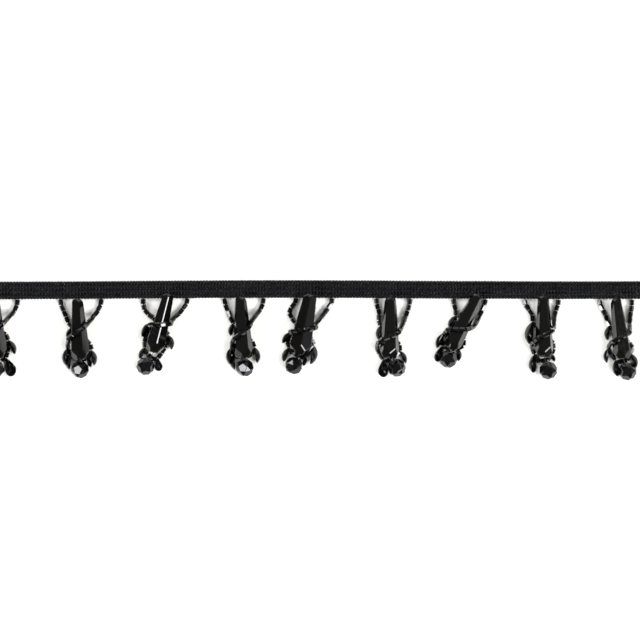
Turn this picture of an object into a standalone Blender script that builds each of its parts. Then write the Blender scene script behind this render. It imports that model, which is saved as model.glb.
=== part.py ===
"""Beaded fringe: a flat plaited braid that lies along X, with nine dangles below it.

Each dangle is a long faceted drop bead, a round faceted bead and two strands with cupped petals.
The part lies on its back on the plane z = 0, with its top towards +Y and its front towards +Z.
"""

import math
from collections import namedtuple

import bmesh
import bpy
from mathutils import Matrix, Vector

# Driving dimensions. Tables are in millimetres and degrees, all else is in metres.
MM = 0.001

PITCH = 35.76 * MM
BRAID_LENGTH = 9 * PITCH
BRAID_WIDTH = 8.5 * MM
BRAID_CENTRE = 18.75 * MM
BRAID_WAVE = 0.33 * MM
BRAID_WAVE_LENGTH = 270 * MM
BRAID_WAVE_CREST = -9 * MM
BRAID_STEPS = 80
BRAID_RIBS = 4
RIB_PARTS = 4
BRAID_CREST = 2.0 * MM
BRAID_GROOVE = 1.45 * MM

# A rebate behind the braid's lower edge, where the strands are stitched on.
REBATE_REACH = 155 * MM
REBATE_TOP_EDGE = 16.6 * MM
REBATE_CUT_FROM = 10 * MM
REBATE_DEPTH = 1.1 * MM

DROP_LENGTH = 28.2 * MM
DROP_TIP_END = 1.6 * MM
DROP_SHOULDER = 24.0 * MM
DROP_TIP_RADIUS = 2.95 * MM
DROP_WIDE_RADIUS = 4.8 * MM
DROP_BASE_RADIUS = 2.3 * MM
DROP_POINT_RADIUS = 1.5 * MM
DROP_SIDES = 5
DROP_TIP_HEIGHT = 4.5 * MM
DROP_REST_HEIGHT = 2.3 * MM

# The round bead's facets: how far its five-sided and its three-sided ones lie from its middle.
ROUND_FIVE_REACH = 3.7 * MM
ROUND_THREE_REACH = 3.98 * MM
ROUND_HEIGHT = 3.95 * MM

STRAND_HALF = 0.95 * MM
STRAND_ROOT_HALF = 0.38 * MM
STRAND_CLEARANCE = 1.65 * MM
STRAND_STEP = 2.0 * MM
STRAND_ROOT_INSIDE = 1.0 * MM
STRAND_ROOT_OUT = 1.6 * MM
STRAND_SMOOTHING = 12

# Where the strands stop, given by the round bead: one ends above its left, the other passes above its
# right and crosses to the left.
STRAND_END_HEIGHT = 1.6 * MM
STRAND_END_ABOVE = 4.75 * MM
STRAND_END_APART = 2.5 * MM
STRAND_CROSS_ABOVE = 5.3 * MM
STRAND_CROSS_APART = -1.8 * MM

# How far along its way to the drop a strand may bend sideways, and how high it lies there.
LEAD_SHARE = 0.55
LEAD_LIFT = 0.3 * MM

# Where the strand that goes over the drop meets its right side, turns round it and comes down again.
OVER_FIRST_TURN = -30
OVER_LAST_TURN = 198
OVER_DOWN_AFTER = 3.4 * MM
OVER_DOWN_LEAST = 23.6 * MM
OVER_DOWN_CLEAR = 0.9 * MM
OVER_DOWN_LIFT = 0.4 * MM

# How far the strand that goes under the drop stays off its sides as it goes in and comes out.
UNDER_IN_CLEAR = 0.9 * MM
UNDER_OUT_CLEAR = 0.5 * MM
UNDER_LOW_CLEAR = 0.3 * MM
UNDER_LOW_AFTER = 2.4 * MM
UNDER_LOW_LEAST = 25.4 * MM

BAR_THICKNESS = 0.75 * MM
BAR_LOW_EDGE = 0.35 * MM
BAR_HIGH_EDGE = 1.35 * MM
BAR_OVERHANG = 1.2 * MM

# A petal's width, depth and neck as parts of its length, of its length and of its width.
PETAL_WIDTH = 0.7
PETAL_DEPTH = 0.26
PETAL_NECK = 0.17
PETAL_THICKNESS = 0.55 * MM
PETAL_STEPS = 9
PETAL_RINGS = (0.0, 0.55, 1.0)
PETAL_SPREAD = 1.25
PETAL_LIFT = 0.05 * MM
PETAL_PITCHES = range(-40, 61, 2)

GAP = 0.3 * MM

# tip and ball are places on the surface, lean turns the drop from straight down towards +X, roll turns it
# on its own axis, and girth is how stout it is next to the usual drop. tilt and spin turn the round bead:
# its hole from level, and about its hole. roots are where the strands leave the braid, and bows how far
# they bend towards +X before the drop. The last four say how far down the drop the strands cross its
# sides: over it and under it.
Dangle = namedtuple(
    "Dangle",
    "tip_x tip_y lean roll girth ball_x ball_y tilt spin "
    "root_left root_right bow_left bow_right over_in over_out under_in under_out",
)
DANGLES = (
    Dangle(-144.4, 14.6, 4.2, 14, 1, -143.5, -18.1, 26, 10, -153.0, -133.4, 0, 0.8, 10.6, 19.6, 10.6, 18.0),
    Dangle(-105.7, 14.4, 3.2, 16, 1, -104.3, -18.2, 30, -3, -113.7, -94.5, 0, 0.6, 10.9, 19.5, 11.0, 22.0),
    Dangle(-63.2, 16.8, -14.5, 26, 0.97, -74.0, -16.7, 24, -18, -75.2, -54.5, -1.6, 0.8, 12.9, 16.5, 12.5, 19),
    Dangle(-30.0, 15.2, 3.2, 5, 1, -27.9, -17.4, 27, -2, -37.5, -19.2, 0, 0.7, 11.5, 21.7, 10.6, 22.2),
    Dangle(2.6, 16.5, -11.3, 34, 1.14, -5.2, -16.5, -3, -29, -4.1, 12.7, -2.6, 0.3, 14.2, 19.3, 13.4, 21.5),
    Dangle(39.7, 15.1, -1.3, 0, 1, 42.6, -17.5, 29, -20, 33.2, 48.8, 0.5, 0.3, 14.8, 21.4, 12.3, 22.6),
    Dangle(80.3, 16.2, -28.7, 8, 1, 66.5, -13.4, 20, -10, 69.0, 83.9, 0.4, 0.3, 14.0, 22.0, 12.5, 22.6),
    Dangle(110.6, 15.8, 0.4, -2, 0.97, 112.9, -18.7, 27, -15, 101.9, 117.8, 1.0, -0.6, 14.4, 21.9, 12.1, 22.6),
    Dangle(144.3, 14.5, 6.6, -8, 0.97, 149.7, -19.1, 24, -19, 136.7, 151.9, 0.4, 0, 15.0, 20.6, 11.3, 22.6),
)

# Each petal hangs on the strand that goes over or under the drop. near is its place there, as a part of
# the strand's length, heading is where its free end points, from +X, roll is 0 where it lies face up and
# 90 where it stands on edge with its hollow to the drop, and length is in millimetres.
Petal = namedtuple("Petal", "dangle strand near heading roll length")
PETALS = (
    Petal(1, "under", 0.66, -62, 70, 7.2),
    Petal(1, "under", 0.86, -66, 22, 9.2),
    Petal(2, "under", 0.41, -116, 66, 5.4),
    Petal(2, "over", 0.86, -94, 84, 7.8),
    Petal(2, "over", 0.93, -94, 86, 7.4),
    Petal(2, "under", 0.77, -78, 80, 7.4),
    Petal(2, "under", 0.88, -66, 60, 4.4),
    Petal(3, "over", 0.66, -114, 62, 8.0),
    Petal(3, "over", 0.94, -116, 76, 5.6),
    Petal(3, "under", 0.57, -78, 82, 6.8),
    Petal(3, "under", 0.86, -84, 15, 5.8),
    Petal(4, "under", 0.37, -105, 68, 6.0),
    Petal(4, "over", 0.84, -95, 84, 7.8),
    Petal(4, "over", 0.94, -88, 86, 7.4),
    Petal(4, "under", 0.76, -80, 82, 7.4),
    Petal(5, "over", 0.78, -126, 72, 6.6),
    Petal(5, "over", 0.94, -114, 72, 7.0),
    Petal(5, "under", 0.70, -98, 84, 9.4),
    Petal(5, "under", 0.86, -102, 60, 4.2),
    Petal(6, "under", 0.39, -94, 85, 7.4),
    Petal(6, "over", 0.96, -92, 24, 8.2),
    Petal(6, "under", 0.80, -62, 80, 6.4),
    Petal(7, "under", 0.30, -121, 78, 6.8),
    Petal(7, "over", 0.83, -114, 78, 7.4),
    Petal(7, "over", 0.98, -114, 40, 7.6),
    Petal(7, "under", 0.82, -86, 70, 5.8),
    Petal(8, "under", 0.34, -102, 64, 10.8),
    Petal(8, "over", 0.91, -97, 52, 8.8),
    Petal(8, "under", 0.83, -70, 60, 3.4),
    Petal(9, "under", 0.38, -102, 74, 7.0),
    Petal(9, "over", 0.82, -96, 80, 6.8),
    Petal(9, "over", 0.96, -84, 50, 7.4),
    Petal(9, "under", 0.82, -68, 78, 6.8),
)


def clear_scene():
    for obj in list(bpy.data.objects):
        bpy.data.objects.remove(obj)


def new_collection(name):
    made = bpy.data.collections.new(name)
    bpy.context.scene.collection.children.link(made)
    return made


def finish(name, colour, roughness, coat=0.0):
    """A material with one colour, for a node."""
    made = bpy.data.materials.new(name)
    made.use_nodes = True
    shader = made.node_tree.nodes["Principled BSDF"]
    shader.inputs["Base Color"].default_value = (*colour, 1.0)
    shader.inputs["Roughness"].default_value = roughness
    shader.inputs["Metallic"].default_value = 0.0
    shader.inputs["Coat Weight"].default_value = coat
    return made


def new_object(name, mesh, collection, material=None):
    made = bpy.data.objects.new(name, mesh)
    collection.objects.link(made)
    if material:
        mesh.materials.clear()
        mesh.materials.append(material)
    return made


def helper(obj):
    """Marks an object that only shapes another one."""
    obj.hide_render = True
    obj.display_type = "WIRE"
    return obj


def mesh_from(bm, name):
    bmesh.ops.recalc_face_normals(bm, faces=bm.faces)
    mesh = bpy.data.meshes.new(name)
    bm.to_mesh(mesh)
    bm.free()
    return mesh


def grind(bm, point, normal):
    """Cuts away what lies past a plane and closes the cut with one flat facet."""
    parts = bm.verts[:] + bm.edges[:] + bm.faces[:]
    cut = bmesh.ops.bisect_plane(
        bm, geom=parts, dist=1e-7, plane_co=point, plane_no=normal, clear_outer=True
    )
    rim = [part for part in cut["geom_cut"] if isinstance(part, bmesh.types.BMEdge)]
    if rim:
        bmesh.ops.edgeloop_fill(bm, edges=rim)


def braid_centre(x):
    """The braid's middle line, which waves a little as a loose trim does."""
    turn = 2 * math.pi * (x - BRAID_WAVE_CREST) / BRAID_WAVE_LENGTH
    return BRAID_CENTRE + BRAID_WAVE * math.cos(turn)


def braid_low_edge(x):
    return braid_centre(x) - BRAID_WIDTH / 2


def braid_mesh():
    """A flat strip whose face is raised in round ribs along its length."""
    rows = BRAID_RIBS * RIB_PARTS
    bm = bmesh.new()
    bmesh.ops.create_grid(bm, x_segments=BRAID_STEPS, y_segments=rows, size=0.5)
    for vert in bm.verts:
        x = vert.co.x * BRAID_LENGTH
        across = vert.co.y + 0.5
        rise = abs(math.sin(math.pi * BRAID_RIBS * across))
        vert.co.x = x
        vert.co.y = braid_low_edge(x) + across * BRAID_WIDTH
        vert.co.z = BRAID_GROOVE + (BRAID_CREST - BRAID_GROOVE) * rise
    extruded = bmesh.ops.extrude_face_region(bm, geom=bm.faces[:])["geom"]
    for part in extruded:
        if isinstance(part, bmesh.types.BMVert):
            part.co.z = 0.0
    under = [part for part in extruded if isinstance(part, bmesh.types.BMFace)]
    bmesh.ops.dissolve_faces(bm, faces=under)
    return mesh_from(bm, "braid")


def rebate_mesh():
    bm = bmesh.new()
    bmesh.ops.create_cube(bm, size=1.0)
    size = Vector((2 * REBATE_REACH, REBATE_TOP_EDGE - REBATE_CUT_FROM, 2 * REBATE_DEPTH))
    middle = (REBATE_TOP_EDGE + REBATE_CUT_FROM) / 2
    bmesh.ops.scale(bm, vec=size, verts=bm.verts)
    bmesh.ops.translate(bm, vec=(0, middle, 0), verts=bm.verts)
    return mesh_from(bm, "rebate")


def drop_radius(dangle, along):
    """The drop's corner radius, from its tip to its shoulder and on to its base."""
    if along <= DROP_SHOULDER:
        share = max((along - DROP_TIP_END) / (DROP_SHOULDER - DROP_TIP_END), 0.0)
        return dangle.girth * (DROP_TIP_RADIUS + share * (DROP_WIDE_RADIUS - DROP_TIP_RADIUS))
    past = min((along - DROP_SHOULDER) / (DROP_LENGTH - DROP_SHOULDER), 1.0)
    return dangle.girth * (DROP_WIDE_RADIUS + past * (DROP_BASE_RADIUS - DROP_WIDE_RADIUS))


def drop_mesh():
    """A five-sided taper along +Z from tip to base, ground to a point and to a staggered shoulder."""
    slope = (DROP_WIDE_RADIUS - DROP_TIP_RADIUS) / (DROP_SHOULDER - DROP_TIP_END)
    start_radius = DROP_TIP_RADIUS - slope * DROP_TIP_END
    end_radius = start_radius + slope * DROP_LENGTH
    bm = bmesh.new()
    bmesh.ops.create_cone(
        bm,
        cap_ends=True,
        segments=DROP_SIDES,
        radius1=start_radius,
        radius2=end_radius,
        depth=DROP_LENGTH,
    )
    bmesh.ops.translate(bm, vec=(0, 0, DROP_LENGTH / 2), verts=bm.verts)
    edge = next(iter(bm.verts)).co
    start = math.atan2(edge.y, edge.x)
    turn = Matrix.Rotation(drop_corners()[0] - start, 3, "Z")
    bmesh.ops.rotate(bm, matrix=turn, cent=(0, 0, 0), verts=bm.verts)
    tip_fall = math.atan2(DROP_TIP_RADIUS - DROP_POINT_RADIUS, DROP_TIP_END)
    base_fall = math.atan2(DROP_WIDE_RADIUS - DROP_BASE_RADIUS, DROP_LENGTH - DROP_SHOULDER)
    for corner in drop_corners():
        for fall, along, radius, end in (
            (tip_fall, DROP_TIP_END, DROP_TIP_RADIUS, -1),
            (base_fall, DROP_SHOULDER, DROP_WIDE_RADIUS, 1),
        ):
            out = Vector((math.cos(corner), math.sin(corner), 0))
            normal = out * math.cos(fall) + Vector((0, 0, end * math.sin(fall)))
            grind(bm, out * radius + Vector((0, 0, along)), normal)
    return mesh_from(bm, "drop")


def round_mesh():
    """A round bead of twenty flat sides, its twelve corners ground to five-sided facets, its hole on Z."""
    bm = bmesh.new()
    bmesh.ops.create_icosphere(bm, subdivisions=1, radius=1.0)
    corners = [vert.co.copy() for vert in bm.verts]
    side_reach = next(iter(bm.faces)).calc_center_median().length
    bmesh.ops.scale(bm, vec=[ROUND_THREE_REACH / side_reach] * 3, verts=bm.verts)
    for corner in corners:
        grind(bm, corner * ROUND_FIVE_REACH, corner)
    return mesh_from(bm, "round")


def drop_corners(roll=0.0):
    """The angles of the drop's edges about its axis, from its right side. One side faces up."""
    first = math.pi / 2 - math.pi / DROP_SIDES + math.radians(roll)
    return [first + 2 * math.pi * side / DROP_SIDES for side in range(DROP_SIDES)]


def drop_axis_height(dangle, along):
    """The height of the drop's axis: its tip lies over the braid and its wide end over a strand."""
    lowest_edge = max(-math.sin(corner) for corner in drop_corners(dangle.roll))
    wide = DROP_REST_HEIGHT + drop_radius(dangle, DROP_SHOULDER) * lowest_edge
    tip = DROP_TIP_HEIGHT * dangle.girth
    return tip + (wide - tip) * along / DROP_SHOULDER


def down_drop(dangle):
    lean = math.radians(dangle.lean)
    return Vector((math.sin(lean), -math.cos(lean), 0))


def right_of_drop(dangle):
    lean = math.radians(dangle.lean)
    return Vector((math.cos(lean), math.sin(lean), 0))


def by_drop(dangle, along, across, height):
    """A point given by the drop: so far down it, so far to its right, so high over the surface."""
    tip = Vector((dangle.tip_x * MM, dangle.tip_y * MM, height))
    return tip + down_drop(dangle) * along + right_of_drop(dangle) * across


def round_drop(dangle, along, turn, clearance):
    """A point that clears the drop's side, turned about its axis from its right side upwards."""
    half_side = 180 / DROP_SIDES
    from_middle = (turn - 90 - dangle.roll + half_side) % (2 * half_side) - half_side
    flat = drop_radius(dangle, along) * math.cos(math.radians(half_side))
    reach = flat / math.cos(math.radians(from_middle)) + clearance
    turn = math.radians(turn)
    height = drop_axis_height(dangle, along) + reach * math.sin(turn)
    return by_drop(dangle, along, reach * math.cos(turn), height)


def drop_matrix(dangle):
    tip = by_drop(dangle, 0, 0, drop_axis_height(dangle, 0))
    base = by_drop(dangle, DROP_LENGTH, 0, drop_axis_height(dangle, DROP_LENGTH))
    along = (base - tip).normalized()
    right = right_of_drop(dangle)
    up = along.cross(right)
    turned = Matrix((right, up, along)).transposed()
    roll = Matrix.Rotation(math.radians(dangle.roll), 3, "Z")
    girth = Matrix.Diagonal((dangle.girth, dangle.girth, 1.0))
    return Matrix.Translation(tip) @ (turned @ roll @ girth).to_4x4()


def ball_centre(dangle):
    return Vector((dangle.ball_x * MM, dangle.ball_y * MM, ROUND_HEIGHT))


def ball_axis(dangle):
    """Level, from the drop's base to the round bead."""
    base = by_drop(dangle, DROP_LENGTH, 0, ROUND_HEIGHT)
    return (ball_centre(dangle) - base).normalized()


def round_turn(dangle):
    """The round bead's turn: its hole along the thread and tilted, and spun about its hole."""
    along = ball_axis(dangle)
    up = Vector((0, 0, 1))
    level = Matrix((up.cross(along), up, along)).transposed()
    tilt = Matrix.Rotation(math.radians(dangle.tilt), 3, "X")
    spin = Matrix.Rotation(math.radians(dangle.spin), 3, "Z")
    return level @ tilt @ spin


def round_matrix(dangle, mesh):
    """Puts the round bead in its place, down on the surface."""
    turn = round_turn(dangle)
    centre = ball_centre(dangle)
    centre.z = -min((turn @ vert.co).z for vert in mesh.vertices)
    return Matrix.Translation(centre) @ turn.to_4x4()


def strand_start(x):
    """The strand's root inside the rebate, and where it is free of the braid's edge."""
    edge = braid_low_edge(x)
    return [
        Vector((x, edge + STRAND_ROOT_INSIDE, STRAND_ROOT_HALF)),
        Vector((x, edge - GAP, STRAND_ROOT_HALF)),
        Vector((x, edge - STRAND_ROOT_OUT, STRAND_HALF)),
    ]


def above_ball(dangle, above, across):
    """A point over the surface, given by the round bead: so far towards the drop, so far to its right."""
    along = ball_axis(dangle)
    right = Vector((-along.y, along.x, 0))
    point = ball_centre(dangle) - along * above + right * across
    return Vector((point.x, point.y, STRAND_END_HEIGHT))


def lead_to(start, end, bow):
    """A point on the way from the braid to the drop, where the strand may bend sideways."""
    lead = start.lerp(end, LEAD_SHARE)
    return Vector((lead.x + bow * MM, lead.y, STRAND_HALF + LEAD_LIFT))


def wrap_turns(dangle):
    """Where the strand passes the drop's edges and the middles of its sides, from its right side."""
    step = 180 // DROP_SIDES
    turns = [90 + dangle.roll + step * number for number in range(-DROP_SIDES, DROP_SIDES)]
    return [turn for turn in turns if OVER_FIRST_TURN <= turn <= OVER_LAST_TURN]


def over_points(dangle, clearance):
    """The right strand: up the drop's right side, over it, and down its left side to the surface."""
    points = strand_start(dangle.root_right * MM)
    over_in = dangle.over_in * MM
    over_out = dangle.over_out * MM
    wrap = []
    for turn in wrap_turns(dangle):
        along = over_in + min(turn / 180, 1.0) * (over_out - over_in)
        wrap.append(round_drop(dangle, along, turn, clearance))
    points.append(lead_to(points[-1], wrap[0], dangle.bow_right))
    points += wrap
    low = max(over_out + OVER_DOWN_AFTER, OVER_DOWN_LEAST)
    across = drop_radius(dangle, low) + OVER_DOWN_CLEAR
    points.append(by_drop(dangle, low, -across, STRAND_HALF + OVER_DOWN_LIFT))
    points.append(above_ball(dangle, STRAND_END_ABOVE, -STRAND_END_APART))
    return points


def under_points(dangle, clearance):
    """The left strand: along the surface, under the drop and out again at its lower right."""
    points = strand_start(dangle.root_left * MM)
    under_in = dangle.under_in * MM
    under_out = dangle.under_out * MM
    across_in = drop_radius(dangle, under_in) + UNDER_IN_CLEAR
    across_out = drop_radius(dangle, under_out) + UNDER_OUT_CLEAR
    low = max(under_out + UNDER_LOW_AFTER, UNDER_LOW_LEAST)
    side = by_drop(dangle, under_in, -across_in, STRAND_HALF)
    points.append(lead_to(points[-1], side, dangle.bow_left))
    points.append(side)
    points.append(by_drop(dangle, (under_in + under_out) / 2, 0, STRAND_HALF))
    points.append(by_drop(dangle, under_out, across_out, STRAND_HALF))
    across_low = drop_radius(dangle, low) + UNDER_LOW_CLEAR
    points.append(by_drop(dangle, low, across_low, STRAND_HALF))
    points.append(above_ball(dangle, STRAND_END_ABOVE, STRAND_END_APART))
    points.append(above_ball(dangle, STRAND_CROSS_ABOVE, STRAND_CROSS_APART))
    return points


def smooth_route(points, step):
    """Evenly spaced points on a smooth curve through the given ones."""
    padded = [2 * points[0] - points[1], *points, 2 * points[-1] - points[-2]]
    fine = []
    for before, start, end, after in zip(padded, padded[1:], padded[2:], padded[3:]):
        for number in range(STRAND_SMOOTHING):
            t = number / STRAND_SMOOTHING
            a = 2 * start
            b = (end - before) * t
            c = (2 * before - 5 * start + 4 * end - after) * t * t
            d = (3 * start - before - 3 * end + after) * t * t * t
            fine.append((a + b + c + d) / 2)
    fine.append(points[-1].copy())
    lengths = [0.0]
    for start, end in zip(fine, fine[1:]):
        lengths.append(lengths[-1] + (end - start).length)
    count = max(2, round(lengths[-1] / step))
    route = []
    place = 0
    for number in range(count + 1):
        wanted = lengths[-1] * number / count
        while place < len(lengths) - 2 and lengths[place + 1] < wanted:
            place += 1
        share = (wanted - lengths[place]) / max(lengths[place + 1] - lengths[place], 1e-9)
        route.append(fine[place].lerp(fine[place + 1], min(share, 1.0)))
    return route


def route_point(route, near):
    """The point at a part of the route's length."""
    place = near * (len(route) - 1)
    start = min(int(place), len(route) - 2)
    return route[start].lerp(route[start + 1], place - start)


def strand_object(name, points, collection):
    """A four-sided strand with a level underside, thin at its root, as a closed mesh."""
    curve = bpy.data.curves.new(name, "CURVE")
    curve.dimensions = "3D"
    curve.twist_mode = "Z_UP"
    curve.bevel_depth = STRAND_HALF * math.sqrt(2)
    curve.bevel_resolution = 0
    curve.use_fill_caps = True
    route = points[:1] + smooth_route(points[1:], STRAND_STEP)
    for point in route[2:]:
        point.z = max(point.z, STRAND_HALF)
    spline = curve.splines.new("POLY")
    spline.points.add(len(route) - 1)
    for number, (place, point) in enumerate(zip(spline.points, route)):
        place.co = (*point, 1.0)
        place.tilt = math.pi / 4
        place.radius = STRAND_ROOT_HALF / STRAND_HALF if number < 2 else 1.0
    tube = new_object(name + "_line", curve, collection)
    graph = bpy.context.evaluated_depsgraph_get()
    mesh = bpy.data.meshes.new_from_object(tube.evaluated_get(graph))
    bpy.data.objects.remove(tube)
    bm = bmesh.new()
    bm.from_mesh(mesh)
    bmesh.ops.remove_doubles(bm, verts=bm.verts, dist=1e-6)
    bpy.data.meshes.remove(mesh)
    return new_object(name, mesh_from(bm, name), collection), route


def bar_object(name, dangle, collection):
    """The short stitched bar in the rebate that holds a dangle's two strands."""
    left = dangle.root_left * MM
    right = dangle.root_right * MM
    middle = (left + right) / 2
    edge = braid_low_edge(middle)
    slant = math.atan2(braid_low_edge(right) - braid_low_edge(left), right - left)
    bm = bmesh.new()
    bmesh.ops.create_cube(bm, size=1.0)
    size = (right - left + 2 * BAR_OVERHANG, BAR_HIGH_EDGE - BAR_LOW_EDGE, BAR_THICKNESS)
    bmesh.ops.scale(bm, vec=size, verts=bm.verts)
    bar = new_object(name, mesh_from(bm, name), collection)
    across = edge + (BAR_LOW_EDGE + BAR_HIGH_EDGE) / 2
    bar.location = (middle, across, BAR_THICKNESS / 2)
    bar.rotation_euler = (0, 0, slant)
    return bar


def petal_mesh():
    """A cupped petal along +X from its neck, hollow towards +Z, as an open surface of unit length."""
    half = 0.5
    cup_radius = (half * half + PETAL_DEPTH * PETAL_DEPTH) / (2 * PETAL_DEPTH)
    cup_angle = math.asin(half / cup_radius)
    bm = bmesh.new()
    profile = []
    for share in PETAL_RINGS:
        angle = cup_angle * share
        out = cup_radius * math.sin(angle)
        height = cup_radius * (math.cos(cup_angle) - math.cos(angle))
        profile.append(bm.verts.new((out, 0, height)))
    edges = [bm.edges.new(pair) for pair in zip(profile, profile[1:])]
    bmesh.ops.spin(
        bm,
        geom=profile + edges,
        cent=(0, 0, 0),
        axis=(0, 0, 1),
        angle=2 * math.pi,
        steps=PETAL_STEPS,
        use_merge=True,
    )
    bmesh.ops.remove_doubles(bm, verts=bm.verts, dist=1e-6)
    for vert in bm.verts:
        share = vert.co.x + half
        vert.co.y *= PETAL_WIDTH * min(1.0, PETAL_NECK + (PETAL_SPREAD - PETAL_NECK) * share)
        vert.co.x += half
    return mesh_from(bm, "petal")


def petal_turn(point, heading, pitch, roll, hollow_side):
    """The petal's place: its neck on the strand, its free end along the heading."""
    ahead = Vector((math.cos(heading), math.sin(heading), 0))
    up = Vector((0, 0, 1))
    side = hollow_side - ahead * hollow_side.dot(ahead)
    side.normalize()
    ahead = ahead * math.cos(pitch) + up * math.sin(pitch)
    lifted = up - ahead * up.dot(ahead)
    lifted.normalize()
    hollow = lifted * math.cos(roll) + side * math.sin(roll)
    across = hollow.cross(ahead)
    return Matrix.Translation(point) @ Matrix((ahead, across, hollow)).transposed().to_4x4()


def lowest(mesh, matrix):
    return min((matrix @ vert.co).z for vert in mesh.vertices)


def petal_matrix(petal, dangle, route, mesh):
    """Lets the petal's free end down until it meets the surface."""
    point = route_point(route, petal.near)
    right = right_of_drop(dangle)
    on_right = (point - by_drop(dangle, 0, 0, 0)).dot(right) > 0
    inward = -right if on_right else right
    heading = math.radians(petal.heading)
    roll = math.radians(petal.roll)
    size = Matrix.Scale(petal.length * MM, 4)
    for pitch in PETAL_PITCHES:
        matrix = petal_turn(point, heading, math.radians(pitch), roll, inward) @ size
        if lowest(mesh, matrix) >= PETAL_LIFT + PETAL_THICKNESS / 2:
            break
    return matrix


def make_strands(number, dangle, nodes, helpers, material):
    """One node: the bar, the two strands and the petals that hang on them, joined."""
    name = f"strands_{number}"
    joined = bpy.data.collections.new(f"{name}_joined")
    helpers.children.link(joined)
    over, over_route = strand_object(name, over_points(dangle, STRAND_CLEARANCE), nodes)
    under, under_route = strand_object(f"{name}_under", under_points(dangle, STRAND_CLEARANCE), joined)
    helper(under)
    helper(bar_object(f"{name}_bar", dangle, joined))
    over.data.materials.append(material)
    for count, petal in enumerate(row for row in PETALS if row.dangle == number):
        mesh = petal_mesh()
        route = over_route if petal.strand == "over" else under_route
        mesh.transform(petal_matrix(petal, dangle, route, mesh))
        cup = new_object(f"{name}_petal_{count}", mesh, joined)
        wall = cup.modifiers.new("wall", "SOLIDIFY")
        wall.thickness = PETAL_THICKNESS
        wall.offset = 0.0
        helper(cup)
    join = over.modifiers.new("join", "BOOLEAN")
    join.operation = "UNION"
    join.operand_type = "COLLECTION"
    join.collection = joined
    return over


def make_braid(nodes, helpers, material):
    braid = new_object("braid", braid_mesh(), nodes, material)
    rebate = helper(new_object("rebate", rebate_mesh(), helpers))
    cut = braid.modifiers.new("rebate", "BOOLEAN")
    cut.operation = "DIFFERENCE"
    cut.object = rebate
    return braid


def main():
    clear_scene()
    nodes = new_collection("beaded_fringe")
    helpers = new_collection("shaping_helpers")
    yarn = finish("black_plaited_yarn", (0.012, 0.012, 0.013), 0.75)
    drop_black = finish("black_moulded_acrylic", (0.008, 0.007, 0.006), 0.08, 0.5)
    round_black = finish("black_polished_acrylic", (0.01, 0.01, 0.01), 0.1, 0.5)
    cut_beads = finish("black_cut_beads", (0.01, 0.01, 0.011), 0.2, 0.3)
    make_braid(nodes, helpers, yarn)
    drop = drop_mesh()
    ball = round_mesh()
    for number, dangle in enumerate(DANGLES, 1):
        placed = new_object(f"drop_{number}", drop, nodes, drop_black)
        placed.matrix_world = drop_matrix(dangle)
        placed = new_object(f"round_{number}", ball, nodes, round_black)
        placed.matrix_world = round_matrix(dangle, ball)
        make_strands(number, dangle, nodes, helpers, cut_beads)


main()
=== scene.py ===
"""Beaded fringe: the finished look of a cut length of black trim, laid flat on a pale surface.

A ribbed plaited braid lies along X. Nine dangles hang from it, each a long faceted drop and a round
faceted bead, wrapped in two strands of cut beads with cupped petals.
"""

import math
import random
from collections import namedtuple

import bmesh
import bpy
from mathutils import Matrix, Vector


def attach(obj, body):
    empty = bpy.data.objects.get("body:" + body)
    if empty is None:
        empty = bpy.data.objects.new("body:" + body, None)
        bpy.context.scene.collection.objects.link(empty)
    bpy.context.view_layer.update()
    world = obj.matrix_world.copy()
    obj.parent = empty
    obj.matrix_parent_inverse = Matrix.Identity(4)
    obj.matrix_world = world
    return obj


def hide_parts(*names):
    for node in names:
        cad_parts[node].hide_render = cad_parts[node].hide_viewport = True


bl_info = {
    "name": "Beaded Fringe",
    "version": (1, 0, 0),
    "blender": (4, 5, 0),
    "location": "3D View > Sidebar > Beaded Fringe",
    "description": "Dresses a beaded fringe in plaited yarn, faceted beads, cut-bead strands and petals",
    "category": "Object",
}

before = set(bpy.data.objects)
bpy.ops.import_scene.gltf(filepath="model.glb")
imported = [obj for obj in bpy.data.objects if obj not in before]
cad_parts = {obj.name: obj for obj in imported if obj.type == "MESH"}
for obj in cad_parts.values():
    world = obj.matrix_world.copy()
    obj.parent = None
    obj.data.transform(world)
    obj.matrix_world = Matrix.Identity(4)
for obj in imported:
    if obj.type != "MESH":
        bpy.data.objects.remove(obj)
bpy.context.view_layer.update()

# Tables are in millimetres and degrees, all else is in metres.
MM = 0.001
GAP = 0.3 * MM

# Points this close become one, and a cut goes through what is this close to it.
TOUCHING = 1e-6
CUT_TOLERANCE = 1e-7

# A facet faces along a bead's axis past this cosine, and is too level for a direction of its own when its
# normal leans from the axis by less than this sine.
END_FACING = 0.999
NEARLY_LEVEL = 0.05

# The braid's place, which its strands start from.
BRAID_LENGTH = 321.84 * MM
BRAID_WIDTH = 8.5 * MM
BRAID_CENTRE = 18.75 * MM
BRAID_WAVE = 0.33 * MM
BRAID_WAVE_LENGTH = 270 * MM
BRAID_WAVE_CREST = -9 * MM

# The plait: yarns cross the braid in columns, by turns on its face and on its back. Wide columns stand
# up as ribs and narrow ones lie in the grooves between them. A yarn's turn at the braid's edge is rounded
# over YARN_TURN_SOFTENING of a column. With YARN_FLATTENING below 1 it stays up on a rib for longer. It is
# YARN_NARROWEST of its width on its way from face to back, and GROOVE_YARN of it in a groove.
WIDE_COLUMNS = 4
COLUMNS = 2 * WIDE_COLUMNS - 1
WIDE_COLUMN = 1.5 * MM
NARROW_COLUMN = 0.78 * MM
COLUMN_STEPS = 4
YARN_SIDES = 8
YARN_TURN_SOFTENING = 0.6
YARN_FLATTENING = 0.8
YARN_NARROWEST = 0.78
GROOVE_YARN = 0.9
RIB_FACE = 2.0 * MM
GROOVE_FACE = 1.0 * MM
RIB_DRIFT = 0.7 * MM
RIB_DRIFT_START = 55 * MM
RIB_DRIFT_END = 90 * MM

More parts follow.
